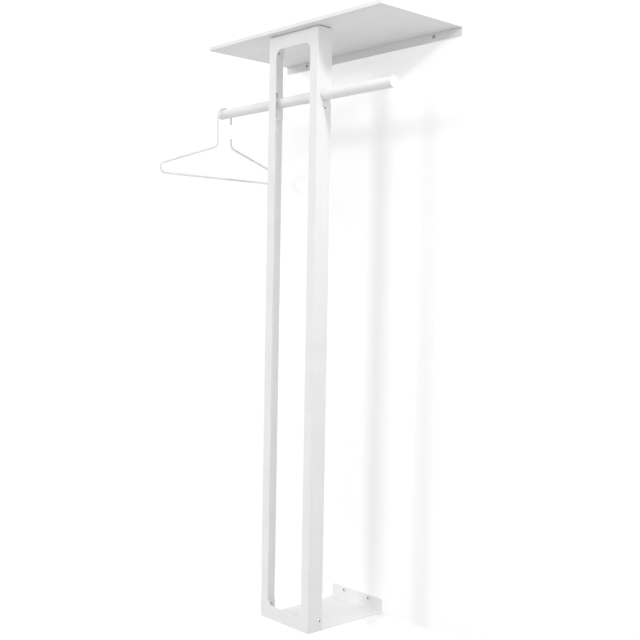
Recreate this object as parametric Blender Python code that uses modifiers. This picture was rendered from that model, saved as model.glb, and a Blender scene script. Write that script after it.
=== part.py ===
"""Wall coat rack: a folded sheet-steel post with a shelf, a round rod, a base plate and a wire hanger.

Metres, +Z up, +X to the right along the wall, +Y into the wall. The wall is the plane y = 0.
Heights are written above the foot of the post. The origin lies on the shelf's wall flange.
"""
import math

import bmesh
import bpy
from mathutils import Matrix, Vector

# Sheet metal and fits
SHEET = 0.002
BEND_INNER = 0.001
BEND_STEPS = 3
FIT = 0.0003
HOLE_CLEARANCE = 0.0003

# Post, a channel open at the back
POST_HEIGHT = 1.600
POST_WIDTH = 0.200
POST_DEPTH = 0.050
POST_STANDOFF = 0.280
STILE = 0.030
WINDOW_TOP_BAND = 0.036
WINDOW_BOTTOM_BAND = 0.039
WINDOW_RADIUS = 0.023
WINDOW_STEPS = 8

# Shelf, two nested trays
SHELF_WIDTH = 0.700
SHELF_OVERHANG = 0.022
SHELF_THICKNESS = 0.012
SHELF_GAP = 0.004
SHELF_FLANGE = 0.035
SHELF_FLANGE_CORNER = 0.003
SHELF_SCREW_INSET = 0.095
SHELF_SCREW_DROP = 0.0105
LINER_SHEET = 0.0015
LINER_WALL = 0.008

# Bracket between the post and the shelf
BRACKET_SHEET = 0.003
BRACKET_INSET = 0.006
BRACKET_CHAMFER = 0.008
BRACKET_BOLT_SPACING = 0.110
STUD_RADIUS = 0.0025
STUD_LENGTH = 0.012
STUD_DROP = 0.030
STUD_SETBACK = 0.030
STUD_TO_TAB_END = 0.009

# Base plate
BASE_FLANGE = 0.040
BASE_FLANGE_CORNER = 0.0075
BASE_TAB = 0.042
BASE_OVERLAP = 0.004
BASE_SCREW_HEIGHT = 0.029
BASE_SCREW_SETBACK = 0.039
BASE_WALL_SCREW_INSET = 0.050
BASE_WALL_SCREW_HEIGHT = 0.031

# Rod and the plates that hold it
ROD_DIAMETER = 0.028
ROD_WALL = 0.0015
ROD_LENGTH = 0.700
ROD_DROP = 0.1755
ROD_SETBACK = 0.026
CAP_THICKNESS = 0.002
CAP_SPIGOT = 0.012
PLATE_THICKNESS = 0.006
PLATE_WALL = 0.0065
PLATE_CORNER = 0.006
PLATE_ABOVE_ROD = 0.034
PLATE_BELOW_SCREW = 0.011
PLATE_SLOT_WIDTH = 0.0085
PLATE_SLOT_FRONT = 0.007
PLATE_SLOT_WEB = 0.0022
PLATE_SLOT_LIP = 0.0025
PLATE_SLOT_CORNER = 0.0016
ROD_SCREW_DROP = 0.034

# Fasteners
SCREW_RADIUS = 0.003
HEAD_RADIUS = 0.005
HEAD_HEIGHT = 0.003
SOCKET_RADIUS = 0.002
SOCKET_DEPTH = 0.0018
NUT_RADIUS = 0.0056
NUT_HEIGHT = 0.005
THREAD_END = 0.001
SET_SCREW_RADIUS = 0.002
WALL_SCREW_RADIUS = 0.0022
WALL_SCREW_LENGTH = 0.040
TURN_STEPS = 20

# Hanger, one bent wire
WIRE_DIAMETER = 0.006
HANGER_INSET = 0.016
HANGER_WIDTH = 0.445
HANGER_DROP = 0.189
SHOULDER_SLOPE = math.radians(19)
END_RADIUS = 0.015
NECK_RADIUS = 0.020
NECK_WIDTH = 0.048
HOOK_TIP_DROP = 0.0285
STUB_DROP = 0.0695
WIRE_STEPS = 9

# Derived places
POST_FRONT = -POST_STANDOFF
POST_BACK = POST_FRONT + POST_DEPTH
INNER_SIDE = POST_WIDTH / 2 - SHEET
SEAT_SIDE = INNER_SIDE - FIT
BEND_OUTER = SHEET + BEND_INNER
SHELF_UNDER = POST_HEIGHT + SHELF_GAP
SHELF_TOP = SHELF_UNDER + SHELF_THICKNESS
SHELF_DEPTH = POST_STANDOFF + SHELF_OVERHANG
SHELF_SCREW_HEIGHT = SHELF_UNDER - SHELF_SCREW_DROP
MOUNT_HEIGHT = SHELF_TOP - SHELF_FLANGE / 2
ROD_RADIUS = ROD_DIAMETER / 2
ROD_HEIGHT = POST_HEIGHT - ROD_DROP
ROD_Y = POST_FRONT + ROD_SETBACK
STUD_HEIGHT = POST_HEIGHT - STUD_DROP
ROD_SCREW_HEIGHT = ROD_HEIGHT - ROD_SCREW_DROP
PLATE_HALF = ROD_RADIUS + PLATE_WALL
HOLE_RADIUS = SCREW_RADIUS + HOLE_CLEARANCE
WALL_HOLE_RADIUS = WALL_SCREW_RADIUS + HOLE_CLEARANCE
SIDES = (("left", -1), ("right", 1))

# Turns that carry a local +Z axis, or a drawn outline, into place
HEAD_TO_ROOM = (math.pi / 2, 0, 0)
HEAD_TO_WALL = (-math.pi / 2, 0, 0)
HEAD_DOWN = (math.pi, 0, 0)
OUTLINE_ACROSS = (math.pi / 2, 0, math.pi / 2)

FINISHES = {
    "powder_coat": ((0.86, 0.86, 0.85, 1), 0.45, 0.0),
    "wire_coat": ((0.84, 0.84, 0.83, 1), 0.35, 0.0),
    "zinc": ((0.62, 0.63, 0.64, 1), 0.35, 1.0),
    "cap_plastic": ((0.88, 0.88, 0.87, 1), 0.4, 0.0),
}


def clear_scene():
    """Empty the scene."""
    for obj in list(bpy.data.objects):
        bpy.data.objects.remove(obj, do_unlink=True)
    for collection in list(bpy.data.collections):
        bpy.data.collections.remove(collection)


def new_collection(name):
    """Make a collection in the scene."""
    collection = bpy.data.collections.new(name)
    bpy.context.scene.collection.children.link(collection)
    return collection


clear_scene()
PARTS = new_collection("wall_coat_rack")
CUTTERS = new_collection("cutters")
ROOT = bpy.data.objects.new("rack_origin", None)
ROOT.location = (0, 0, -MOUNT_HEIGHT)
PARTS.objects.link(ROOT)


def finish(name, kind):
    """Make a part's own material."""
    colour, roughness, metallic = FINISHES[kind]
    material = bpy.data.materials.new(f"{name}_{kind}")
    material.use_nodes = True
    shader = material.node_tree.nodes["Principled BSDF"]
    shader.inputs["Base Color"].default_value = colour
    shader.inputs["Roughness"].default_value = roughness
    shader.inputs["Metallic"].default_value = metallic
    material.diffuse_color = colour
    return material


def mesh_from(name, bm):
    """Store a bmesh as a mesh with its faces pointing out."""
    bmesh.ops.recalc_face_normals(bm, faces=bm.faces)
    mesh = bpy.data.meshes.new(name)
    bm.to_mesh(mesh)
    bm.free()
    return mesh


def add_part(name, mesh, kind, place=(0, 0, 0), turn=(0, 0, 0)):
    """Add a named part with its own material."""
    part = bpy.data.objects.new(name, mesh)
    part.parent = ROOT
    part.location = place
    part.rotation_euler = turn
    mesh.materials.clear()
    mesh.materials.append(finish(name, kind))
    PARTS.objects.link(part)
    return part


def add_cutter(name, mesh, place=(0, 0, 0), turn=(0, 0, 0)):
    """Add a hidden operand for a Boolean."""
    cutter = bpy.data.objects.new(name, mesh)
    cutter.parent = ROOT
    cutter.location = place
    cutter.rotation_euler = turn
    cutter.hide_render = True
    cutter.display_type = "WIRE"
    CUTTERS.objects.link(cutter)
    return cutter


def join(part, other):
    """Join a hidden operand to a part."""
    modifier = part.modifiers.new(other.name, "BOOLEAN")
    modifier.operation = "UNION"
    modifier.solver = "EXACT"
    modifier.object = other


def cut(part, name, cutters):
    """Take a group of cutters out of a part in one exact Boolean."""
    group = bpy.data.collections.new(name)
    CUTTERS.children.link(group)
    for cutter in cutters:
        CUTTERS.objects.unlink(cutter)
        group.objects.link(cutter)
    modifier = part.modifiers.new(name, "BOOLEAN")
    modifier.operation = "DIFFERENCE"
    modifier.solver = "EXACT"
    modifier.operand_type = "COLLECTION"
    modifier.collection = group


def box(name, low, high, rounding=None):
    """Make a box between two corners; rounding is (axis, radius, steps, test of an edge's middle)."""
    low, high = Vector(low), Vector(high)
    bm = bmesh.new()
    bmesh.ops.create_cube(bm, size=1)
    bmesh.ops.scale(bm, vec=high - low, verts=bm.verts)
    bmesh.ops.translate(bm, vec=(low + high) / 2, verts=bm.verts)
    if rounding:
        round_edges(bm, *rounding)
    return mesh_from(name, bm)


def round_edges(bm, axis, radius, steps, wanted):
    """Round the edges that run along an axis and whose middle passes a test."""
    edges = []
    for edge in bm.edges:
        start, end = (vert.co for vert in edge.verts)
        along = (end - start).normalized()
        if abs(along[axis]) > 0.999 and wanted((start + end) / 2):
            edges.append(edge)
    bmesh.ops.bevel(bm, geom=edges, offset=radius, offset_type="OFFSET", segments=steps,
                    profile=0.5, affect="EDGES")


def every_edge(middle):
    """Accept every edge."""
    return True


def cylinder(name, radius, length, sides=TURN_STEPS):
    """Make a cylinder along Z, centred."""
    bm = bmesh.new()
    bmesh.ops.create_cone(bm, cap_ends=True, segments=sides, radius1=radius, radius2=radius, depth=length)
    return mesh_from(name, bm)


def bore(name, radius, length, place, turn=(0, 0, 0), sides=TURN_STEPS):
    """Make a round cutter."""
    return add_cutter(name, cylinder(name, radius, length, sides), place, turn)


def side_turn(side):
    """Turn local +Z outward on a side."""
    return (0, side * math.pi / 2, 0)


def rounded_path(points, radii, steps):
    """Round the inner corners of an open path.

    Args:
        points: corners as pairs.
        radii: one radius for each inner corner.
        steps: straight pieces in each arc.

    Returns:
        The path's points as vectors.
    """
    corners = [Vector(point) for point in points]
    path = [corners[0]]
    for before, corner, after, radius in zip(corners, corners[1:], corners[2:], radii):
        back = (before - corner).normalized()
        onward = (after - corner).normalized()
        half = back.angle(onward) / 2
        centre = corner + (back + onward).normalized() * radius / math.sin(half)
        start = corner + back * radius / math.tan(half) - centre
        left = -back.x * onward.y + back.y * onward.x
        sweep = math.copysign(math.pi - 2 * half, left)
        for step in range(steps + 1):
            path.append(centre + Matrix.Rotation(sweep * step / steps, 2) @ start)
    path.append(corners[-1])
    return path


def offset_path(points, distance):
    """Move an open path to its left."""
    corners = [Vector(point) for point in points]
    normals = []
    for start, end in zip(corners, corners[1:]):
        along = (end - start).normalized()
        normals.append(Vector((-along.y, along.x)))
    moved = [corners[0] + normals[0] * distance]
    for corner, first, second in zip(corners[1:], normals, normals[1:]):
        moved.append(corner + (first + second) * distance / (1 + first.dot(second)))
    moved.append(corners[-1] + normals[-1] * distance)
    return moved


def curve_mesh(name, curve):
    """Turn a curve into a closed mesh with clean flat faces."""
    holder = bpy.data.objects.new(name, curve)
    CUTTERS.objects.link(holder)
    graph = bpy.context.evaluated_depsgraph_get()
    raw = bpy.data.meshes.new_from_object(holder.evaluated_get(graph))
    bpy.data.objects.remove(holder)
    bpy.data.curves.remove(curve)
    bm = bmesh.new()
    bm.from_mesh(raw)
    bpy.data.meshes.remove(raw)
    bmesh.ops.remove_doubles(bm, verts=bm.verts, dist=0.000001)
    return bm


def add_spline(curve, points, cyclic):
    """Add a straight-pieced spline through points in space."""
    spline = curve.splines.new("POLY")
    spline.points.add(len(points) - 1)
    for slot, point in zip(spline.points, points):
        slot.co = (*point, 1)
    spline.use_cyclic_u = cyclic


def folded_strip(name, path, thickness, length):
    """Fold a strip along a path of its outer face, material on the left, and give it a length along Z."""
    bends = len(path) - 2
    outer = rounded_path(path, [thickness + BEND_INNER] * bends, BEND_STEPS)
    inner = rounded_path(offset_path(path, thickness), [BEND_INNER] * bends, BEND_STEPS)
    curve = bpy.data.curves.new(name, "CURVE")
    curve.dimensions = "2D"
    curve.fill_mode = "BOTH"
    curve.extrude = length / 2
    add_spline(curve, [(point.x, point.y, 0) for point in outer + inner[::-1]], True)
    bm = curve_mesh(name, curve)
    bmesh.ops.dissolve_limit(bm, angle_limit=math.radians(1), verts=bm.verts, edges=bm.edges)
    return bm


def tray(name, low, high, open_face_z, kind, thickness):
    """Make an open tray: a box without one face, its edges bent, with the sheet inside its outer face."""
    low, high = Vector(low), Vector(high)
    bm = bmesh.new()
    bmesh.ops.create_cube(bm, size=1)
    bmesh.ops.scale(bm, vec=high - low, verts=bm.verts)
    bmesh.ops.translate(bm, vec=(low + high) / 2, verts=bm.verts)
    mouth = [face for face in bm.faces if face.normal.z * open_face_z > 0.9]
    bmesh.ops.delete(bm, geom=mouth, context="FACES_ONLY")
    mesh = bpy.data.meshes.new(name)
    bm.to_mesh(mesh)
    bm.free()
    part = add_part(name, mesh, kind)
    bend = part.modifiers.new("bend", "BEVEL")
    bend.width = thickness + BEND_INNER
    bend.segments = BEND_STEPS
    bend.limit_method = "ANGLE"
    sheet = part.modifiers.new("sheet", "SOLIDIFY")
    sheet.thickness = thickness
    sheet.offset = -1
    sheet.use_even_offset = True
    return part


def turned(name, profile, kind, place, turn=(0, 0, 0), steps=TURN_STEPS, closed=False):
    """Turn a profile of (radius, height) pairs, top to bottom, about local Z."""
    bm = bmesh.new()
    verts = [bm.verts.new((radius, 0, height)) for radius, height in profile]
    for start, end in zip(verts, verts[1:]):
        bm.edges.new((start, end))
    if closed:
        bm.edges.new((verts[-1], verts[0]))
    mesh = bpy.data.meshes.new(name)
    bm.to_mesh(mesh)
    bm.free()
    part = add_part(name, mesh, kind, place, turn)
    spin = part.modifiers.new("spin", "SCREW")
    spin.steps = steps
    spin.render_steps = steps
    spin.use_merge_vertices = True
    spin.merge_threshold = 0.00001
    return part


def button_screw(name, length, place, turn):
    """Add a button-head screw whose head sits on local z = 0 and whose shank runs to -length."""
    tip = SCREW_RADIUS - THREAD_END / 2
    profile = [
        (0, HEAD_HEIGHT - SOCKET_DEPTH),
        (SOCKET_RADIUS, HEAD_HEIGHT - SOCKET_DEPTH),
        (SOCKET_RADIUS, HEAD_HEIGHT),
        (HEAD_RADIUS * 0.62, HEAD_HEIGHT),
        (HEAD_RADIUS * 0.88, HEAD_HEIGHT * 0.68),
        (HEAD_RADIUS, HEAD_HEIGHT * 0.25),
        (HEAD_RADIUS, 0),
        (SCREW_RADIUS, 0),
        (SCREW_RADIUS, -length + THREAD_END),
        (tip, -length),
        (0, -length),
    ]
    return turned(name, profile, "zinc", place, turn)


def wall_screw(name, place):
    """Add a pan-head wall screw with a pointed shank."""
    profile = [
        (0, HEAD_HEIGHT - SOCKET_DEPTH),
        (SOCKET_RADIUS, HEAD_HEIGHT - SOCKET_DEPTH),
        (SOCKET_RADIUS, HEAD_HEIGHT),
        (HEAD_RADIUS * 0.68, HEAD_HEIGHT),
        (HEAD_RADIUS * 0.92, HEAD_HEIGHT * 0.72),
        (HEAD_RADIUS, HEAD_HEIGHT * 0.3),
        (HEAD_RADIUS, 0),
        (WALL_SCREW_RADIUS, 0),
        (WALL_SCREW_RADIUS, -WALL_SCREW_LENGTH * 0.86),
        (0, -WALL_SCREW_LENGTH),
    ]
    return turned(name, profile, "zinc", place, HEAD_TO_ROOM)


def hex_nut(name, radius, place, turn):
    """Add a hexagon nut centred on its place, its axis on local Z."""
    nut = add_part(name, cylinder(name, NUT_RADIUS, NUT_HEIGHT, 6), "zinc", place, turn)
    thread = bore(f"{name}_thread", radius + HOLE_CLEARANCE, NUT_HEIGHT * 2, place, turn)
    cut(nut, f"{name}_thread", [thread])
    return nut


def build_post():
    """Fold the post and cut its window and bores."""
    path = [
        (-POST_WIDTH / 2, POST_BACK),
        (-POST_WIDTH / 2, POST_FRONT),
        (POST_WIDTH / 2, POST_FRONT),
        (POST_WIDTH / 2, POST_BACK),
    ]
    mesh = mesh_from("post_frame", folded_strip("post_frame", path, SHEET, POST_HEIGHT))
    post = add_part("post_frame", mesh, "powder_coat", (0, 0, POST_HEIGHT / 2))
    half = POST_WIDTH / 2 - STILE
    window = box("post_window", (-half, POST_FRONT - SHEET, WINDOW_BOTTOM_BAND),
                 (half, POST_FRONT + SHEET * 2, POST_HEIGHT - WINDOW_TOP_BAND),
                 (1, WINDOW_RADIUS, WINDOW_STEPS, every_edge))
    through = POST_WIDTH * 1.2
    rod_place = (0, ROD_Y, ROD_HEIGHT)
    screw_place = (0, ROD_Y, ROD_SCREW_HEIGHT)
    foot_place = (0, POST_FRONT + BASE_SCREW_SETBACK, BASE_SCREW_HEIGHT)
    cut(post, "post_openings", [
        add_cutter("post_window", window),
        bore("post_rod_bore", ROD_RADIUS + HOLE_CLEARANCE, through, rod_place, side_turn(1), 32),
        bore("post_rod_screw_bore", HOLE_RADIUS, through, screw_place, side_turn(1)),
        bore("post_base_screw_bore", HOLE_RADIUS, through, foot_place, side_turn(1)),
    ])


def build_shelf():
    """Make the shelf's two skins, their weld nuts and the wall screws."""
    half = SHELF_WIDTH / 2
    pan = tray("shelf_pan", (-half, -SHELF_DEPTH, SHELF_UNDER), (half, 0, SHELF_TOP), -1,
               "powder_coat", SHEET)
    low_edge = SHELF_TOP - SHELF_FLANGE

    def low_corner(middle):
        return middle.z < SHELF_UNDER - SHELF_SCREW_DROP

    flange = box("shelf_flange", (-half, -SHEET, low_edge), (half, 0, SHELF_UNDER + SHELF_THICKNESS / 3),
                 (1, SHELF_FLANGE_CORNER, 4, low_corner))
    join(pan, add_cutter("shelf_flange", flange))
    inset = SHEET + FIT
    liner = tray("shelf_liner", (-half + inset, -SHELF_DEPTH + inset, SHELF_UNDER),
                 (half - inset, -inset, SHELF_UNDER + LINER_WALL), 1, "powder_coat", LINER_SHEET)
    bolt_y = POST_FRONT + (BRACKET_INSET + POST_DEPTH) / 2
    nut_z = SHELF_UNDER + LINER_SHEET + FIT + NUT_HEIGHT / 2
    wall_bores = []
    bolt_bores = []
    for word, side in SIDES:
        screw_x = side * (SHELF_WIDTH / 2 - SHELF_SCREW_INSET)
        hole = (screw_x, 0, SHELF_SCREW_HEIGHT)
        wall_bores.append(bore(f"shelf_wall_bore_{word}", WALL_HOLE_RADIUS, SHEET * 6, hole, HEAD_TO_ROOM))
        wall_screw(f"shelf_wall_screw_{word}", (screw_x, -SHEET - FIT, SHELF_SCREW_HEIGHT))
        bolt_x = side * BRACKET_BOLT_SPACING / 2
        bolt_bores.append(bore(f"liner_bore_{word}", HOLE_RADIUS, LINER_WALL, (bolt_x, bolt_y, SHELF_UNDER)))
        hex_nut(f"shelf_weld_nut_{word}", SCREW_RADIUS, (bolt_x, bolt_y, nut_z), (0, 0, 0))
    cut(pan, "shelf_wall_bores", wall_bores)
    cut(liner, "liner_bores", bolt_bores)


def build_top_bracket():
    """Make the bracket that spaces the shelf off the post, with its studs, nuts and bolts."""
    web_top = SHELF_UNDER - FIT
    tab_end = STUD_HEIGHT - STUD_TO_TAB_END
    front = POST_FRONT + BRACKET_INSET
    depth = POST_BACK - front
    middle = (front + POST_BACK) / 2
    path = [(SEAT_SIDE, tab_end), (SEAT_SIDE, web_top), (-SEAT_SIDE, web_top), (-SEAT_SIDE, tab_end)]
    bm = folded_strip("top_bracket", path, BRACKET_SHEET, depth)

    def rear_corner(point):
        return point.y < (tab_end + web_top) / 2 and point.z < 0

    round_edges(bm, 0, BRACKET_CHAMFER, 1, rear_corner)
    mesh = mesh_from("top_bracket", bm)
    bracket = add_part("top_bracket", mesh, "powder_coat", (0, middle, 0), HEAD_TO_ROOM)
    stud_y = POST_FRONT + STUD_SETBACK
    slot_half = STUD_RADIUS + HOLE_CLEARANCE

    def slot_end(point):
        return point.z > STUD_HEIGHT

    slot = box("bracket_slot", (-POST_WIDTH, stud_y - slot_half, tab_end - BRACKET_SHEET),
               (POST_WIDTH, stud_y + slot_half, STUD_HEIGHT + slot_half), (0, slot_half * 0.95, 6, slot_end))
    openings = [add_cutter("bracket_slot", slot)]
    bolt_length = BRACKET_SHEET + FIT * 3 + LINER_SHEET + NUT_HEIGHT
    for word, side in SIDES:
        bolt_x = side * BRACKET_BOLT_SPACING / 2
        openings.append(bore(f"bracket_bore_{word}", HOLE_RADIUS, SHELF_GAP * 4, (bolt_x, middle, web_top)))
        bolt_place = (bolt_x, middle, web_top - BRACKET_SHEET - FIT)
        button_screw(f"shelf_bolt_{word}", bolt_length, bolt_place, HEAD_DOWN)
        profile = [(0, 0), (STUD_RADIUS, 0), (STUD_RADIUS, THREAD_END - STUD_LENGTH),
                   (STUD_RADIUS - THREAD_END / 2, -STUD_LENGTH), (0, -STUD_LENGTH)]
        place = (side * SEAT_SIDE, stud_y, STUD_HEIGHT)
        turned(f"top_weld_stud_{word}", profile, "zinc", place, side_turn(side))
        nut_x = side * (SEAT_SIDE - BRACKET_SHEET - FIT - NUT_HEIGHT / 2)
        hex_nut(f"top_nut_{word}", STUD_RADIUS, (nut_x, stud_y, STUD_HEIGHT), side_turn(side))
    cut(bracket, "bracket_openings", openings)


def build_base():
    """Make the base plate, its screws and nuts, and its wall screws."""
    front = POST_FRONT + BEND_OUTER
    back = POST_BACK + FIT
    tongue_end = back + BASE_OVERLAP
    path = [(-SEAT_SIDE, BASE_TAB), (-SEAT_SIDE, 0), (SEAT_SIDE, 0), (SEAT_SIDE, BASE_TAB)]
    mesh = mesh_from("base_plate", folded_strip("base_plate", path, SHEET, tongue_end - front))
    base = add_part("base_plate", mesh, "powder_coat", (0, (front + tongue_end) / 2, 0), HEAD_TO_ROOM)
    trim = box("base_tab_trim", (-POST_WIDTH, POST_BACK, SHEET),
               (POST_WIDTH, back + BASE_OVERLAP * 3, BASE_TAB * 2))
    bm = folded_strip("base_rear", [(back, 0), (0, 0), (0, BASE_FLANGE)], SHEET, POST_WIDTH)

    def top_corner(point):
        return point.y > BASE_FLANGE * 0.9

    round_edges(bm, 0, BASE_FLANGE_CORNER, 5, top_corner)
    rear = add_cutter("base_rear", mesh_from("base_rear", bm), (0, 0, 0), OUTLINE_ACROSS)
    cut(base, "base_tab_trim", [add_cutter("base_tab_trim", trim)])
    join(base, rear)
    screw_y = POST_FRONT + BASE_SCREW_SETBACK
    screw_place = (0, screw_y, BASE_SCREW_HEIGHT)
    bores = [bore("base_screw_bore", HOLE_RADIUS, POST_WIDTH * 1.2, screw_place, side_turn(1))]
    length = SHEET * 2 + FIT * 4 + NUT_HEIGHT + THREAD_END
    for word, side in SIDES:
        screw_x = side * (POST_WIDTH / 2 - BASE_WALL_SCREW_INSET)
        hole = (screw_x, 0, BASE_WALL_SCREW_HEIGHT)
        bores.append(bore(f"base_wall_bore_{word}", WALL_HOLE_RADIUS, SHEET * 6, hole, HEAD_TO_ROOM))
        wall_screw(f"base_wall_screw_{word}", (screw_x, -SHEET - FIT, BASE_WALL_SCREW_HEIGHT))
        place = (side * (POST_WIDTH / 2 + FIT), screw_y, BASE_SCREW_HEIGHT)
        button_screw(f"base_screw_{word}", length, place, side_turn(side))
        nut_x = side * (SEAT_SIDE - SHEET - FIT - NUT_HEIGHT / 2)
        hex_nut(f"base_nut_{word}", SCREW_RADIUS, (nut_x, screw_y, BASE_SCREW_HEIGHT), side_turn(side))
    cut(base, "base_bores", bores)


def build_rod():
    """Make the rod, its end caps and what holds it in the post."""
    tube_half = ROD_LENGTH / 2 - CAP_THICKNESS - FIT
    bore_radius = ROD_RADIUS - ROD_WALL
    ring = [(ROD_RADIUS, tube_half), (ROD_RADIUS, -tube_half),
            (bore_radius, -tube_half), (bore_radius, tube_half)]
    turned("rod_tube", ring, "powder_coat", (0, ROD_Y, ROD_HEIGHT), side_turn(1), 32, closed=True)
    edge = CAP_THICKNESS / 3
    spigot = bore_radius - FIT
    cap = [(0, CAP_THICKNESS), (ROD_RADIUS - edge, CAP_THICKNESS), (ROD_RADIUS, CAP_THICKNESS - edge),
           (ROD_RADIUS, 0), (spigot, 0), (spigot, edge - CAP_SPIGOT),
           (spigot - edge, -CAP_SPIGOT), (0, -CAP_SPIGOT)]
    plate_half = PLATE_THICKNESS / 2
    screw_length = SHEET + PLATE_THICKNESS + FIT * 4 + NUT_HEIGHT + THREAD_END
    grub_length = PLATE_WALL - FIT
    grub = [(0, -SET_SCREW_RADIUS), (SET_SCREW_RADIUS / 2, -SET_SCREW_RADIUS), (SET_SCREW_RADIUS / 2, 0),
            (SET_SCREW_RADIUS, 0), (SET_SCREW_RADIUS, THREAD_END / 2 - grub_length),
            (SET_SCREW_RADIUS * 0.7, -grub_length), (0, -grub_length)]
    for word, side in SIDES:
        cap_x = side * (ROD_LENGTH / 2 - CAP_THICKNESS)
        turned(f"rod_end_cap_{word}", cap, "cap_plastic", (cap_x, ROD_Y, ROD_HEIGHT), side_turn(side), 32)
        plate_x = side * (SEAT_SIDE - plate_half)
        plate_place = (plate_x, ROD_Y, ROD_HEIGHT)
        blank = box(f"rod_plate_{word}", (-plate_half, -PLATE_HALF, -ROD_SCREW_DROP - PLATE_BELOW_SCREW),
                    (plate_half, PLATE_HALF, PLATE_ABOVE_ROD), (0, PLATE_CORNER, 5, every_edge))
        plate = add_part(f"rod_plate_{word}", blank, "powder_coat", plate_place)
        screw_place = (plate_x, ROD_Y, ROD_SCREW_HEIGHT)
        grub_place = (plate_x, ROD_Y + PLATE_HALF, ROD_HEIGHT)
        through = PLATE_THICKNESS * 2
        rod_hole = ROD_RADIUS + HOLE_CLEARANCE
        slot = box(f"plate_slot_{word}", (-PLATE_THICKNESS, -PLATE_SLOT_FRONT, rod_hole + PLATE_SLOT_WEB),
                   (PLATE_THICKNESS, PLATE_SLOT_WIDTH - PLATE_SLOT_FRONT, PLATE_ABOVE_ROD - PLATE_SLOT_LIP),
                   (0, PLATE_SLOT_CORNER, 3, every_edge))
        cut(plate, f"rod_plate_bores_{word}", [
            bore(f"plate_rod_bore_{word}", rod_hole, through, plate_place, side_turn(1), 32),
            bore(f"plate_screw_bore_{word}", HOLE_RADIUS, through, screw_place, side_turn(1)),
            add_cutter(f"plate_slot_{word}", slot, plate_place),
        ])
        grub_bore = bore(f"plate_grub_bore_{word}", SET_SCREW_RADIUS + HOLE_CLEARANCE, PLATE_HALF,
                         grub_place, HEAD_TO_WALL)
        cut(plate, f"rod_plate_grub_{word}", [grub_bore])
        head_x = side * (POST_WIDTH / 2 + FIT)
        button_screw(f"rod_screw_{word}", screw_length, (head_x, ROD_Y, ROD_SCREW_HEIGHT), side_turn(side))
        nut_x = side * (SEAT_SIDE - PLATE_THICKNESS - FIT - NUT_HEIGHT / 2)
        hex_nut(f"rod_nut_{word}", SCREW_RADIUS, (nut_x, ROD_Y, ROD_SCREW_HEIGHT), side_turn(side))
        turned(f"rod_set_screw_{word}", grub, "zinc", grub_place, HEAD_TO_WALL, 16)


def build_hanger():
    """Bend the hanger's wire; its origin is on the rod's axis."""
    wire = WIRE_DIAMETER / 2
    neck = NECK_WIDTH / 2
    apex = ROD_RADIUS + FIT + wire
    reach = HANGER_WIDTH / 2 - wire
    corner = reach - END_RADIUS + END_RADIUS / math.tan(SHOULDER_SLOPE / 2)
    shoulder = (corner - neck) * math.tan(SHOULDER_SLOPE) - HANGER_DROP
    points = [(neck, -HOOK_TIP_DROP), (neck, apex), (-neck, apex), (-neck, shoulder),
              (-corner, -HANGER_DROP), (corner, -HANGER_DROP), (neck, shoulder), (neck, -STUB_DROP)]
    radii = [neck, neck, NECK_RADIUS, END_RADIUS, END_RADIUS, NECK_RADIUS]
    curve = bpy.data.curves.new("hanger", "CURVE")
    curve.dimensions = "3D"
    curve.bevel_depth = wire
    curve.bevel_resolution = 3
    curve.use_fill_caps = True
    add_spline(curve, [(0, point.x, point.y) for point in rounded_path(points, radii, WIRE_STEPS)], False)
    mesh = mesh_from("hanger", curve_mesh("hanger", curve))
    add_part("hanger", mesh, "wire_coat", (HANGER_INSET - ROD_LENGTH / 2, ROD_Y, ROD_HEIGHT))


build_post()
build_shelf()
build_top_bracket()
build_base()
build_rod()
build_hanger()
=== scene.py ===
"""Looks of a wall coat rack: coated sheet steel, a round rod, screws and a wire hanger in a white room."""
import logging
import math
from collections.abc import Sequence
from dataclasses import dataclass
from enum import Enum

import bmesh
import bpy
from mathutils import Matrix, Vector


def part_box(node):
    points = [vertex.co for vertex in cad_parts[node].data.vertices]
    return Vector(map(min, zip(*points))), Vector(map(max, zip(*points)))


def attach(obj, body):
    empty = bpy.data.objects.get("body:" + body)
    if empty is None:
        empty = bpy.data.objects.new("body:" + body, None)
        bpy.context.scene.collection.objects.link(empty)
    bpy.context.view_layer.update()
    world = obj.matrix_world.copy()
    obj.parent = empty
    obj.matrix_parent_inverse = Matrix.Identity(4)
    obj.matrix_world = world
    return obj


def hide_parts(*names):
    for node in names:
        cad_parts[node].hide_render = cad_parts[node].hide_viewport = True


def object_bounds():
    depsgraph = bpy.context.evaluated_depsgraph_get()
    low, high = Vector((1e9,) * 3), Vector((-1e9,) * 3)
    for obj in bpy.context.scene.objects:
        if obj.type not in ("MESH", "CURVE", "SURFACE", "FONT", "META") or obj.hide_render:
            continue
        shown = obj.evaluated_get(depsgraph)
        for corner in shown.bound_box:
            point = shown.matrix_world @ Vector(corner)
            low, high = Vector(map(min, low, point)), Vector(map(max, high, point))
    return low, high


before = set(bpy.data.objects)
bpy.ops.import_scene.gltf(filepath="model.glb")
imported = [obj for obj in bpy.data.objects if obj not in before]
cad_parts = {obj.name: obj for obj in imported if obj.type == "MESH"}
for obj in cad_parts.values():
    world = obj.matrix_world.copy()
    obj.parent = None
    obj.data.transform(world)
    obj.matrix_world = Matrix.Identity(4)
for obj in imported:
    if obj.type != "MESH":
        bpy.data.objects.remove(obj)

CAD_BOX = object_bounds()
LOG = logging.getLogger("coat_rack")

Pair = tuple[float, float]
Triple = tuple[float, float, float]
Solid = bmesh.types.BMesh
Part = bpy.types.Object
Tree = bpy.types.NodeTree
Socket = bpy.types.NodeSocket

RACK = "rack"
HANGER = "hanger"
ORIGIN = Vector((0.0, 0.0, 0.0))

# Gap between pieces that touch, a cutter's reach past what it cuts, and the distance at which points merge.
FIT = 0.0003
CLEAR = 0.01
MERGE = 0.000005

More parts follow.
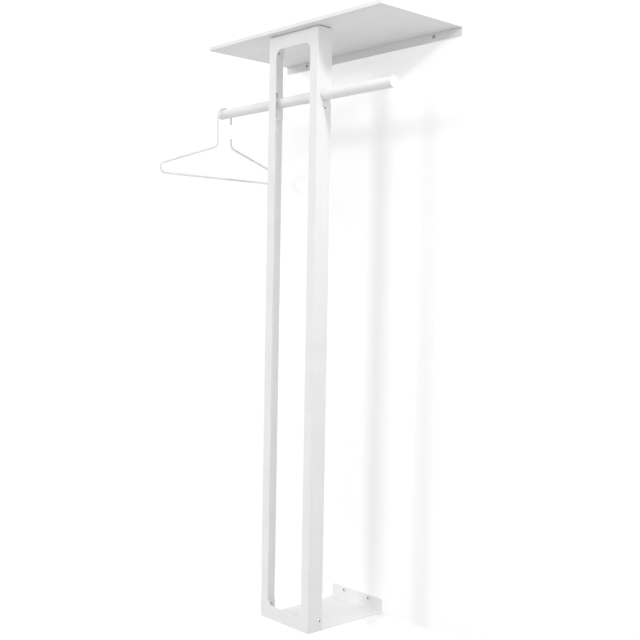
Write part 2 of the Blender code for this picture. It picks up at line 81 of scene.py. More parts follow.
# Cosine at which a face faces a way, bevel profile of an arc, and the angles of edges to round and to keep.
FACING = 0.9
ARC = 0.5
ROUND_ANGLE = math.radians(50)
SHARP_ANGLE = math.radians(38)

# Straight pieces round a bore.
ROD_BORE_STEPS = 64
BORE_STEPS = 48
SMALL_BORE_STEPS = 32
HEXAGON = 6


class Side(Enum):
    """Left and right of the rack, seen from the room."""

    LEFT = -1
    RIGHT = 1

    @property
    def word(self) -> str:
        """Give the side's word, as in a node's name."""
        return self.name.lower()


class Mode(Enum):
    """What a solid does to a part: it is cut out of it, joined to it, or keeps what both share."""

    CUT = "DIFFERENCE"
    JOIN = "UNION"
    SHARE = "INTERSECT"


class Drive(Enum):
    """What is cut into a wall screw's head: a ring, as for a cover cap, or a cross."""

    RING = "ring"
    CROSS = "cross"


class Plane(Enum):
    """Plane that an outline is drawn in: its two axes, then the axis that it is drawn out along."""

    PLAN = (0, 1, 2)
    FRONT = (0, 2, 1)
    SIDE = (1, 2, 0)

    def point(self, across: float, up: float, depth: float) -> Vector:
        """Give the place of an outline's point in the rack's frame.

        Args:
            across: its first coordinate in the plane.
            up: its second one.
            depth: its distance along the third axis.

        Returns:
            The place.
        """
        place = Vector((0.0, 0.0, 0.0))
        for axis, value in zip(self.value, (across, up, depth)):
            place[axis] = value
        return place

    def seen(self, place: Vector) -> Pair:
        """Give a place's two coordinates in the plane."""
        return place[self.value[0]], place[self.value[1]]


def join(tree: Tree, *rows: tuple[bpy.types.Node, str | int, bpy.types.Node, str | int]) -> None:
    """Link nodes, each row being a node, its output, the next node and its input."""
    for source, output, target, entry in rows:
        tree.links.new(source.outputs[output], target.inputs[entry])


def spread(tree: Tree, value: Socket, limits: Pair, ends: Pair, soft: bool = False) -> Socket:
    """Spread a value from between two limits to between two ends.

    Args:
        tree: the nodes that it is in.
        value: the value.
        limits: where the change starts and ends.
        ends: what the value becomes there.
        soft: whether the change starts and ends softly.

    Returns:
        The new value.
    """
    node = tree.nodes.new("ShaderNodeMapRange")
    if soft:
        node.interpolation_type = "SMOOTHSTEP"
    node.inputs["From Min"].default_value, node.inputs["From Max"].default_value = limits
    node.inputs["To Min"].default_value, node.inputs["To Max"].default_value = ends
    tree.links.new(value, node.inputs["Value"])
    return node.outputs["Result"]


def shape_tree(name: str, inputs: dict[str, str]) -> Tree:
    """Start a tree of shape nodes.

    Args:
        name: its name.
        inputs: the kind of each input, by the input's name.

    Returns:
        The tree, whose one output is its shape.
    """
    tree = bpy.data.node_groups.new(name, "GeometryNodeTree")
    for label, kind in inputs.items():
        tree.interface.new_socket(label, in_out="INPUT", socket_type=f"NodeSocket{kind}")
    tree.interface.new_socket("Geometry", in_out="OUTPUT", socket_type="NodeSocketGeometry")
    return tree


def named_value(tree: Tree, name: str, kind: str) -> bpy.types.Node:
    """Add a node that reads a named value of each point or face.

    Args:
        tree: the tree that it goes in.
        name: the value's name.
        kind: its data type.

    Returns:
        The node.
    """
    node = tree.nodes.new("GeometryNodeInputNamedAttribute")
    node.data_type = kind
    node.inputs["Name"].default_value = name
    return node


@dataclass(frozen=True)
class Finish:
    """A finish whose colour, gloss and relief vary at the scale of the real one.

    Args:
        name: material name.
        slot: material slot of the record; not used.
        colour: main colour.
        shade: colour of its thin or hollow spots.
        gloss: lowest and highest roughness.
        metal: metallic share.
        cloud: spots of colour in each metre.
        grain: bumps in each metre.
        relief: height of the bumps in metres.
        strength: how strongly the bumps tilt the surface.
        stretch: how much the grain is drawn out along each axis.
        cloud_limits: where the colour starts and ends to change.
        cloud_detail: how finely the spots of colour break up.
        blotch_limits: where the gloss starts and ends to change.
        blotch_grains: bumps across a spot of gloss.
        grain_detail: how finely the bumps and the spots of gloss break up.
    """

    name: str
    slot: str
    colour: Triple
    shade: Triple
    gloss: Pair
    metal: float
    cloud: float
    grain: float
    relief: float
    strength: float
    stretch: Triple = (1.0, 1.0, 1.0)
    cloud_limits: Pair = (0.3, 0.62)
    cloud_detail: float = 3.0
    blotch_limits: Pair = (0.3, 0.7)
    blotch_grains: float = 9.0
    grain_detail: float = 2.0

    def material(self) -> bpy.types.Material:
        """Make the finish as a material, once.

        Returns:
            The material.
        """
        made = bpy.data.materials.get(self.name)
        if made is not None:
            return made
        made = bpy.data.materials.new(self.name)
        made.use_nodes = True
        tree = made.node_tree
        shader = tree.nodes["Principled BSDF"]
        place = tree.nodes.new("ShaderNodeTexCoord").outputs["Object"]
        drawn = tree.nodes.new("ShaderNodeMapping")
        drawn.inputs["Scale"].default_value = self.stretch
        tree.links.new(place, drawn.inputs["Vector"])
        cloud = self._noise(tree, place, self.cloud, self.cloud_detail)
        grain = self._noise(tree, drawn.outputs["Vector"], self.grain, self.grain_detail)
        blotch = self._noise(tree, place, self.grain / self.blotch_grains, self.grain_detail)
        tint = tree.nodes.new("ShaderNodeMix")
        tint.data_type = "RGBA"
        tint.inputs["A"].default_value = (*self.shade, 1.0)
        tint.inputs["B"].default_value = (*self.colour, 1.0)
        tree.links.new(spread(tree, cloud, self.cloud_limits, (0.0, 1.0)), tint.inputs["Factor"])
        tree.links.new(tint.outputs["Result"], shader.inputs["Base Color"])
        tree.links.new(spread(tree, blotch, self.blotch_limits, self.gloss), shader.inputs["Roughness"])
        bump = tree.nodes.new("ShaderNodeBump")
        bump.inputs["Strength"].default_value = self.strength
        bump.inputs["Distance"].default_value = self.relief
        tree.links.new(grain, bump.inputs["Height"])
        tree.links.new(bump.outputs["Normal"], shader.inputs["Normal"])
        shader.inputs["Metallic"].default_value = self.metal
        made.diffuse_color = (*self.colour, 1.0)
        return made

    @staticmethod
    def _noise(tree: Tree, place: Socket, scale: float, detail: float) -> Socket:
        """Add a noise to a material.

        Args:
            tree: the material's nodes.
            place: where the noise is read.
            scale: spots in each metre.
            detail: how finely they break up.

        Returns:
            The noise's value.
        """
        noise = tree.nodes.new("ShaderNodeTexNoise")
        noise.inputs["Scale"].default_value = scale
        noise.inputs["Detail"].default_value = detail
        tree.links.new(place, noise.inputs["Vector"])
        return noise.outputs["Fac"]


class Coat(Enum):
    """Finishes of the rack, and a painted shade for the insides of the screws' drives."""

    POWDER = Finish("white_powder_coat", "powder_coat", (0.865, 0.865, 0.86), (0.835, 0.835, 0.832),
                    (0.5, 0.62), 0.0, 11.0, 850.0, 0.00022, 0.16)
    WIRE = Finish("white_wire_coat", "wire_coat", (0.85, 0.85, 0.845), (0.815, 0.815, 0.81),
                  (0.26, 0.38), 0.0, 40.0, 1300.0, 0.0001, 0.14)
    ZINC = Finish("zinc_plate", "zinc", (0.84, 0.845, 0.85), (0.72, 0.727, 0.735),
                  (0.28, 0.46), 1.0, 420.0, 2600.0, 0.00006, 0.2, (1.0, 1.0, 0.3))
    # Painted shade: a near-black for the faces inside the screws' drives, standing in for the shade that
    # falls there.
    RECESS = Finish("shaded_recess", "zinc", (0.09, 0.09, 0.092), (0.05, 0.05, 0.052),
                    (0.5, 0.7), 0.6, 420.0, 2600.0, 0.00006, 0.2)
    CAP = Finish("white_cap_plastic", "cap_plastic", (0.87, 0.87, 0.865), (0.845, 0.845, 0.84),
                 (0.42, 0.55), 0.0, 60.0, 2200.0, 0.00008, 0.25)


def rounded_path(points: Sequence[Pair], radii: Sequence[float], steps: int) -> list[Vector]:
    """Round the inner corners of an open path.

    Args:
        points: its corners.
        radii: a radius for each inner corner.
        steps: straight pieces in each arc.

    Returns:
        The path's points.
    """
    corners = [Vector(point) for point in points]
    path = [corners[0]]
    for before, corner, after, radius in zip(corners, corners[1:], corners[2:], radii):
        back = (before - corner).normalized()
        onward = (after - corner).normalized()
        half = back.angle(onward) / 2
        centre = corner + (back + onward).normalized() * radius / math.sin(half)
        start = corner + back * radius / math.tan(half) - centre
        left = back.y * onward.x - back.x * onward.y
        sweep = math.copysign(math.pi - 2 * half, left)
        path += [centre + Matrix.Rotation(sweep * step / steps, 2) @ start for step in range(steps + 1)]
    path.append(corners[-1])
    return path


def moved_path(points: Sequence[Pair], distance: float) -> list[Vector]:
    """Move an open path to its left.

    Args:
        points: its corners.
        distance: how far.

    Returns:
        The moved corners.
    """
    corners = [Vector(point) for point in points]
    normals = []
    for start, end in zip(corners, corners[1:]):
        along = (end - start).normalized()
        normals.append(Vector((-along.y, along.x)))
    moved = [corners[0] + normals[0] * distance]
    for corner, first, second in zip(corners[1:], normals, normals[1:]):
        moved.append(corner + (first + second) * distance / (1 + first.dot(second)))
    moved.append(corners[-1] + normals[-1] * distance)
    return moved


def folded_outline(points: Sequence[Pair], sheet: float, bend: float, steps: int = 7) -> list[Vector]:
    """Draw the cross-section of a folded sheet.

    Args:
        points: corners of its outer face, with the sheet on their left.
        sheet: thickness.
        bend: inner radius of the bends.
        steps: straight pieces in each bend.

    Returns:
        A closed outline.
    """
    bends = len(points) - 2
    outer = rounded_path(points, [sheet + bend] * bends, steps)
    inner = rounded_path(moved_path(points, sheet), [bend] * bends, steps)
    return outer + inner[::-1]


def quarter_turn(steps: int, first: int = 0) -> list[float]:
    """Give the angles of a quarter turn in equal steps, from a given step on."""
    return [math.pi / 2 * step / steps for step in range(first, steps + 1)]


def circle(centre: Pair, radius: float, steps: int) -> list[Vector]:
    """Draw a circle, or a regular polygon with few steps."""
    angles = (math.tau * step / steps for step in range(steps))
    return [Vector((centre[0] + radius * math.cos(a), centre[1] + radius * math.sin(a))) for a in angles]


def rectangle(low: Pair, high: Pair) -> list[Vector]:
    """Draw a rectangle with square corners."""
    return [Vector(corner) for corner in (low, (high[0], low[1]), high, (low[0], high[1]))]


def rounded_rectangle(low: Pair, high: Pair, radius: float, steps: int = 14) -> list[Vector]:
    """Draw a rectangle with round corners.

    Args:
        low: its lowest corner.
        high: its highest corner.
        radius: radius of the corners.
        steps: straight pieces in each corner.

    Returns:
        A closed outline.
    """
    outline = []
    for quarter, (right, top) in enumerate(((True, True), (False, True), (False, False), (True, False))):
        across = high[0] - radius if right else low[0] + radius
        up = high[1] - radius if top else low[1] + radius
        for step in range(steps + 1):
            angle = math.pi / 2 * (quarter + step / steps)
            outline.append(Vector((across, up)) + Vector((math.cos(angle), math.sin(angle))) * radius)
    return outline


def prism(outline: Sequence[Vector], plane: Plane, low: float, high: float) -> Solid:
    """Draw a closed outline out into a solid.

    Args:
        outline: its points.
        plane: the plane that they lie in.
        low: start of the solid along the plane's third axis.
        high: its end.

    Returns:
        The solid.
    """
    solid = bmesh.new()
    face = solid.faces.new([solid.verts.new(plane.point(point.x, point.y, low)) for point in outline])
    made = bmesh.ops.extrude_face_region(solid, geom=[face])["geom"]
    moved = [item for item in made if isinstance(item, bmesh.types.BMVert)]
    bmesh.ops.translate(solid, verts=moved, vec=plane.point(0.0, 0.0, high - low))
    bmesh.ops.recalc_face_normals(solid, faces=solid.faces)
    return solid


def bore(plane: Plane, place: Vector, radius: float, reach: Pair, steps: int = BORE_STEPS) -> Solid:
    """Make a round cutter across a plane, or one with few sides."""
    return prism(circle(plane.seen(place), radius, steps), plane, *reach)


def side_bores(stem: str, plane: Plane, radius: float, reach: Pair) -> list[Solid]:
    """Make a round cutter at a node of each side, whose name is the stem and the side's word."""
    return [bore(plane, middle(f"{stem}_{side.word}"), radius, reach) for side in Side]


def lathe(profile: Sequence[Pair], steps: int, closed: bool = False) -> Solid:
    """Turn a profile of radius and height pairs about Z.

    Args:
        profile: its points, from the axis at the top to the axis at the bottom.
        steps: straight pieces round the axis.
        closed: whether the profile closes on itself.

    Returns:
        The solid.
    """
    solid = bmesh.new()
    verts = [solid.verts.new((radius, 0.0, height)) for radius, height in profile]
    ends = zip(verts, verts[1:] + verts[:1] if closed else verts[1:])
    edges = [solid.edges.new(pair) for pair in ends]
    bmesh.ops.spin(solid, geom=verts + edges, cent=(0, 0, 0), axis=(0, 0, 1), angle=math.tau, steps=steps,
                   use_merge=True, use_duplicate=False)
    bmesh.ops.remove_doubles(solid, verts=solid.verts, dist=MERGE)
    bmesh.ops.recalc_face_normals(solid, faces=solid.faces)
    return solid


def placed(name: str, data: bpy.types.ID) -> Part:
    """Put a mesh, lamp or camera into the scene.

    Args:
        name: its name there.
        data: what is put in.

    Returns:
        The new object.
    """
    part = bpy.data.objects.new(name, data)
    bpy.context.scene.collection.objects.link(part)
    return part


def holder(name: str, solid: Solid) -> Part:
    """Hold a solid in an object, so that modifiers can work on it.

    Args:
        name: the object's name.
        solid: the solid, which is used up.

    Returns:
        The object.
    """
    mesh = bpy.data.meshes.new(name)
    solid.to_mesh(mesh)
    solid.free()
    return placed(name, mesh)


def discard(part: Part) -> None:
    """Remove a scratch object and its mesh."""
    mesh = part.data
    bpy.data.objects.remove(part)
    bpy.data.meshes.remove(mesh)


def taken(part: Part) -> Solid:
    """Take the solid out of a scratch object and remove the object.

    Args:
        part: the object.

    Returns:
        The solid.
    """
    solid = bmesh.new()
    solid.from_mesh(part.data)
    discard(part)
    return solid


def combine(part: Part, others: Sequence[Solid], mode: Mode) -> None:
    """Let solids work on a part, in one Boolean.

    Args:
        part: the part.
        others: the solids, which are used up.
        mode: what they do to it.
    """
    joined = bmesh.new()
    for other in others:
        mesh = bpy.data.meshes.new("operand")
        other.to_mesh(mesh)
        other.free()
        joined.from_mesh(mesh)
        bpy.data.meshes.remove(mesh)
    operand = holder("operand", joined)
    operand.hide_render = True
    modifier = part.modifiers.new("combine", "BOOLEAN")
    modifier.operation = mode.value
    modifier.solver = "EXACT"
    modifier.object = operand
    settle(part)
    discard(operand)


def settle(part: Part) -> None:
    """Apply a part's modifiers to its mesh."""
    graph = bpy.context.evaluated_depsgraph_get()
    graph.update()
    mesh = bpy.data.meshes.new_from_object(part.evaluated_get(graph))
    old = part.data
    part.modifiers.clear()
    part.data = mesh
    bpy.data.meshes.remove(old)


def soften(part: Part, width: float, steps: int = 2) -> None:
    """Round a part's sharp edges a little, as a coat does, and shade it smoothly.

    Args:
        part: the part.
        width: width of the rounding.
        steps: straight pieces across it.
    """
    edge = part.modifiers.new("edge", "BEVEL")
    edge.width = width
    edge.segments = steps
    edge.limit_method = "ANGLE"
    edge.angle_limit = ROUND_ANGLE
    edge.use_clamp_overlap = False
    settle(part)
    shade(part)


def shade(part: Part) -> None:
    """Shade a part smoothly except across its sharp edges, with its flat faces kept flat."""
    part.data.shade_smooth()
    part.data.set_sharp_from_angle(angle=SHARP_ANGLE)
    flat = part.modifiers.new("flat", "WEIGHTED_NORMAL")
    flat.weight = 100
    flat.keep_sharp = True
    settle(part)


def run_tree(part: Part, tree: Tree, values: dict[str, object]) -> None:
    """Run a tree of shape nodes on a part and keep the result as its mesh.

    Args:
        part: the part.
        tree: the tree.
        values: the values of its inputs, by their names.
    """
    modifier = part.modifiers.new(tree.name, "NODES")
    modifier.node_group = tree
    for item in tree.interface.items_tree:
        if item.in_out == "INPUT" and item.name in values:
            modifier[item.identifier] = values[item.name]
    settle(part)


def finish_piece(part: Part, name: str, coat: Coat, nodes: Sequence[str], body: str = RACK) -> None:
    """Name and coat a piece, attach it to its body and hide the nodes that it stands for.

    Args:
        part: the piece.
        name: its name.
        coat: its finish, put on where it has none yet.
        nodes: the nodes that it replaces.
        body: the body that it moves with.
    """
    part.name = name
    part.data.name = name
    if not part.data.materials:
        part.data.materials.append(coat.value.material())
    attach(part, body)
    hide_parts(*nodes)
    LOG.info("%s: %d faces for %s", name, len(part.data.polygons), ", ".join(nodes))


def corners_of(node: str) -> tuple[Vector, Vector]:
    """Give the lowest and the highest corner of a node's box."""
    low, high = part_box(node)
    return Vector(low), Vector(high)


def middle(node: str) -> Vector:
    """Give the middle of a node's box."""
    low, high = corners_of(node)
    return (low + high) / 2


@dataclass
class Post:
    """The folded post with its window and bores."""

    sheet: float = 0.002
    bend: float = 0.001
    stile: float = 0.030
    top_band: float = 0.036
    bottom_band: float = 0.039
    window_radius: float = 0.023
    rod_hole: float = 0.0143
    screw_hole: float = 0.0033
    edge: float = 0.00035

    def build(self) -> None:
        """Fold the sheet, cut its openings and coat it."""
        low, high = corners_of("post_frame")
        path = [(low.x, high.y), (low.x, low.y), (high.x, low.y), (high.x, high.y)]
        post = holder("post", prism(folded_outline(path, self.sheet, self.bend), Plane.PLAN, low.z, high.z))
        window = rounded_rectangle((low.x + self.stile, low.z + self.bottom_band),
                                   (high.x - self.stile, high.z - self.top_band), self.window_radius)
        rod = middle("rod_tube")
        screw = Vector((rod.x, rod.y, middle("rod_screw_left").z))
        reach = (low.x - self.stile, high.x + self.stile)
        combine(post, [
            prism(window, Plane.FRONT, low.y - self.sheet, low.y + self.sheet * 2),
            bore(Plane.SIDE, rod, self.rod_hole, reach, ROD_BORE_STEPS),
            bore(Plane.SIDE, screw, self.screw_hole, reach),
            bore(Plane.SIDE, middle("base_nut_left"), self.screw_hole, reach),
        ], Mode.CUT)
        soften(post, self.edge)
        finish_piece(post, "post_sheet", Coat.POWDER, ["post_frame"])


@dataclass
class Shelf:
    """The shelf's upper and lower skin."""

    sheet: float = 0.002
    liner_sheet: float = 0.0015
    bend: float = 0.001
    bend_steps: int = 6
    thickness: float = 0.012
    corner: float = 0.003
    corner_steps: int = 6
    wall_hole: float = 0.0025
    bolt_hole: float = 0.0033
    edge: float = 0.0003

    def build(self) -> None:
        """Make both skins and coat them."""
        self._build_pan()
        self._build_liner()

    def _tray(self, name: str, low: Vector, high: Vector, open_below: bool, sheet: float) -> Part:
        """Bend a tray from a box without its top or bottom.

        Args:
            name: scratch name.
            low: lowest corner.
            high: highest corner.
            open_below: whether the tray's mouth is below.
            sheet: thickness.

        Returns:
            The tray.
        """
        solid = bmesh.new()
        bmesh.ops.create_cube(solid, size=1)
        bmesh.ops.scale(solid, vec=high - low, verts=solid.verts)
        bmesh.ops.translate(solid, vec=(low + high) / 2, verts=solid.verts)
        mouth = [face for face in solid.faces if (-face.normal.z if open_below else face.normal.z) > FACING]
        bmesh.ops.delete(solid, geom=mouth, context="FACES_ONLY")
        tray = holder(name, solid)
        bend = tray.modifiers.new("bend", "BEVEL")
        bend.width = sheet + self.bend
        bend.segments = self.bend_steps
        bend.limit_method = "ANGLE"
        wall = tray.modifiers.new("wall", "SOLIDIFY")
        wall.thickness = sheet
        wall.offset = -1
        wall.use_even_offset = True
        settle(tray)
        return tray

    def _build_pan(self) -> None:
        """Make the upper skin with its wall flange."""
        low, high = corners_of("shelf_pan")
        under = high.z - self.thickness
        pan = self._tray("pan", Vector((low.x, low.y, under)), high, True, self.sheet)
        soften(pan, self.edge)
        top = under + self.thickness / 3
        outline = rounded_rectangle((low.x, low.z), (high.x, top), self.corner, self.corner_steps)
        flange = holder("flange", prism(outline, Plane.FRONT, high.y - self.sheet, high.y))
        soften(flange, self.edge)
        combine(pan, [taken(flange)], Mode.JOIN)
        combine(pan, side_bores("shelf_wall_screw", Plane.FRONT, self.wall_hole, (-CLEAR, CLEAR)), Mode.CUT)
        shade(pan)
        finish_piece(pan, "shelf_upper_skin", Coat.POWDER, ["shelf_pan"])

    def _build_liner(self) -> None:
        """Make the lower skin."""
        low, high = corners_of("shelf_liner")
        liner = self._tray("liner", low, high, False, self.liner_sheet)
        reach = (low.z - CLEAR, low.z + CLEAR)
        combine(liner, side_bores("shelf_bolt", Plane.PLAN, self.bolt_hole, reach), Mode.CUT)
        soften(liner, self.edge)
        finish_piece(liner, "shelf_lower_skin", Coat.POWDER, ["shelf_liner"])


@dataclass
class Bracket:
    """The bracket between the post and the shelf."""

    sheet: float = 0.003
    bend: float = 0.001
    chamfer: float = 0.008
    bolt_hole: float = 0.0033
    slot: float = 0.0028
    slot_round: float = 0.98
    slot_steps: int = 8
    edge: float = 0.0003

    def build(self) -> None:
        """Fold the bracket, cut its slots and holes and coat it."""
        low, high = corners_of("top_bracket")
        path = [(high.x, low.z), (high.x, high.z), (low.x, high.z), (low.x, low.z)]
        solid = prism(folded_outline(path, self.sheet, self.bend), Plane.FRONT, low.y, high.y)
        corners = []
        for edge in solid.edges:
            start, end = (vert.co for vert in edge.verts)
            at = (start + end) / 2
            rear_foot = at.z < low.z + self.sheet and at.y > high.y - self.sheet
            if rear_foot and abs(start.x - end.x) > self.sheet / 2:
                corners.append(edge)
        bmesh.ops.bevel(solid, geom=corners, offset=self.chamfer, segments=1, affect="EDGES")
        bracket = holder("bracket", solid)
        stud = middle("top_weld_stud_left")
        slot = rounded_rectangle((stud.y - self.slot, low.z - CLEAR * 2),
                                 (stud.y + self.slot, stud.z + self.slot),
                                 self.slot * self.slot_round, self.slot_steps)
        openings = [prism(slot, Plane.SIDE, low.x - CLEAR, high.x + CLEAR)]
        openings += side_bores("shelf_bolt", Plane.PLAN, self.bolt_hole, (high.z - CLEAR, high.z + CLEAR))
        combine(bracket, openings, Mode.CUT)
        soften(bracket, self.edge)
        finish_piece(bracket, "shelf_bracket", Coat.POWDER, ["top_bracket"])


@dataclass
class Base:
    """The base plate with its wall flange and its tabs inside the post."""

    sheet: float = 0.002
    bend: float = 0.001
    bend_room: float = 1.2
    flange: float = 0.040
    corner: float = 0.0075
    corner_steps: int = 10
    overlap: float = 0.004
    wall_hole: float = 0.0025
    screw_hole: float = 0.0033
    edge: float = 0.0003

    def build(self) -> None:
        """Fold the plate, round its flange, cut its holes and coat it."""
        low, high = corners_of("base_plate")
        _, post_high = corners_of("post_frame")
        half = post_high.x - self.sheet - FIT
        back = post_high.y + FIT
        path = [(-half, high.z), (-half, low.z), (half, low.z), (half, high.z)]
        tabs = folded_outline(path, self.sheet, self.bend)
        base = holder("base", prism(tabs, Plane.FRONT, low.y, post_high.y))
        soften(base, self.edge)
        inset = half - (self.sheet + self.bend) * self.bend_room
        strip = rectangle((-inset, low.z), (inset, low.z + self.sheet))
        combine(base, [prism(strip, Plane.FRONT, post_high.y - self.overlap, back + self.overlap)], Mode.JOIN)
        top = low.z + self.flange
        profile = folded_outline([(back, low.z), (0.0, low.z), (0.0, top)], self.sheet, self.bend)
        rear = prism(profile, Plane.SIDE, low.x, high.x)
        corners = []
        for edge in rear.edges:
            start, end = (vert.co for vert in edge.verts)
            if abs(start.y - end.y) > self.sheet / 2 and min(start.z, end.z) > top - self.sheet:
                corners.append(edge)
        bmesh.ops.bevel(rear, geom=corners, offset=self.corner, segments=self.corner_steps, profile=ARC,
                        affect="EDGES")
        plate = holder("plate", rear)
        soften(plate, self.edge)
        combine(base, [taken(plate)], Mode.JOIN)
        reach = (low.x - CLEAR * 2, high.x + CLEAR * 2)
        bores = [bore(Plane.SIDE, middle("base_nut_left"), self.screw_hole, reach)]
        bores += side_bores("base_wall_screw", Plane.FRONT, self.wall_hole, (-CLEAR, CLEAR))
        combine(base, bores, Mode.CUT)
        shade(base)
        finish_piece(base, "base_sheet", Coat.POWDER, ["base_plate"])


@dataclass
class Rod:
    """The rod, its end caps and the plates that hold it. The cap's dish is in shares of its radius."""

    wall: float = 0.0015
    cap: float = 0.002
    rim_steps: int = 5
    spigot: float = 0.012
    dish: float = 0.0005
    dish_shares: Triple = (0.62, 0.72, 0.8)
    dish_lip: float = 0.75
    plate_corner: float = 0.006
    plate_corner_steps: int = 10
    plate_hole: float = 0.0143
    screw_hole: float = 0.0033
    grub_hole: float = 0.0023
    grub_start: float = 0.008
    slot_low: Pair = (-0.007, 0.0165)
    slot_high: Pair = (0.0015, 0.0315)
    slot_corner: float = 0.0016
    slot_steps: int = 4
    edge: float = 0.0004
    steps: int = 72

    def build(self) -> None:
        """Make the tube, both caps and both plates."""
        self._build_tube()
        for side in Side:
            self._build_cap(side)
            self._build_plate(side)

    def _build_tube(self) -> None:
        """Turn the tube with its ends broken round."""
        low, high = corners_of("rod_tube")
        radius, half, soft = (high.z - low.z) / 2, (high.x - low.x) / 2, self.edge
        inner = radius - self.wall
        profile = [(inner + soft, half), (radius - soft, half), (radius, half - soft), (radius, soft - half),
                   (radius - soft, -half), (inner + soft, -half), (inner, soft - half), (inner, half - soft)]
        solid = lathe(profile, self.steps, closed=True)
        self._lay(solid, middle("rod_tube"), Side.RIGHT)
        tube = holder("tube", solid)
        shade(tube)
        finish_piece(tube, "rod_bar", Coat.POWDER, ["rod_tube"])

    def _build_cap(self, side: Side) -> None:
        """Turn an end cap with a soft rim and a slightly dished face.

        Args:
            side: the rod's end that it closes.
        """
        node = f"rod_end_cap_{side.word}"
        low, high = corners_of(node)
        radius, soft = (high.z - low.z) / 2, self.cap / 3
        plug = radius - self.wall - FIT
        rim = [(radius - soft + soft * math.sin(a), self.cap - soft + soft * math.cos(a))
               for a in quarter_turn(self.rim_steps)]
        floor, slope, lip = (radius * share for share in self.dish_shares)
        profile = [(0.0, self.cap - self.dish), (floor, self.cap - self.dish),
                   (slope, self.cap - self.dish * self.dish_lip), (lip, self.cap), *rim, (radius, 0.0),
                   (plug, 0.0), (plug, soft - self.spigot), (plug - soft, -self.spigot), (0.0, -self.spigot)]
        solid = lathe(profile, self.steps)
        place = middle("rod_tube")
        place.x = high.x - self.cap if side is Side.RIGHT else low.x + self.cap
        self._lay(solid, place, side)
        cap = holder("cap", solid)
        shade(cap)
        finish_piece(cap, f"rod_cap_{side.word}", Coat.CAP, [node])

    def _build_plate(self, side: Side) -> None:
        """Cut a plate that holds the rod inside the post.

        Args:
            side: the post's flange that it lies on.
        """
        node = f"rod_plate_{side.word}"
        low, high = corners_of(node)
        outline = rounded_rectangle(Plane.SIDE.seen(low), Plane.SIDE.seen(high), self.plate_corner,
                                    self.plate_corner_steps)
        plate = holder("plate", prism(outline, Plane.SIDE, low.x, high.x))
        rod = middle("rod_tube")
        screw = Vector((rod.x, rod.y, middle(f"rod_screw_{side.word}").z))
        grub = middle(f"rod_set_screw_{side.word}")
        reach = (low.x - CLEAR, high.x + CLEAR)
        slot = rounded_rectangle((rod.y + self.slot_low[0], rod.z + self.slot_low[1]),
                                 (rod.y + self.slot_high[0], rod.z + self.slot_high[1]),
                                 self.slot_corner, self.slot_steps)
        combine(plate, [
            bore(Plane.SIDE, rod, self.plate_hole, reach, ROD_BORE_STEPS),
            bore(Plane.SIDE, screw, self.screw_hole, reach),
            prism(slot, Plane.SIDE, *reach),
        ], Mode.CUT)
        reach = (rod.y + self.grub_start, high.y + CLEAR)
        combine(plate, [bore(Plane.FRONT, grub, self.grub_hole, reach, SMALL_BORE_STEPS)], Mode.CUT)
        soften(plate, self.edge)
        finish_piece(plate, f"rod_holder_{side.word}", Coat.POWDER, [node])

    @staticmethod
    def _lay(solid: Solid, place: Vector, side: Side) -> None:
        """Turn a solid's top to a side and put it in its place."""
        turn = Matrix.Rotation(side.value * math.pi / 2, 4, "Y")
        bmesh.ops.transform(solid, matrix=Matrix.Translation(place) @ turn, verts=solid.verts)


@dataclass(frozen=True)
class Seat:
    """Where a fastener sits: the node that it stands for, its place and the way that its top faces."""

    node: str
    place: Vector
    facing: Vector


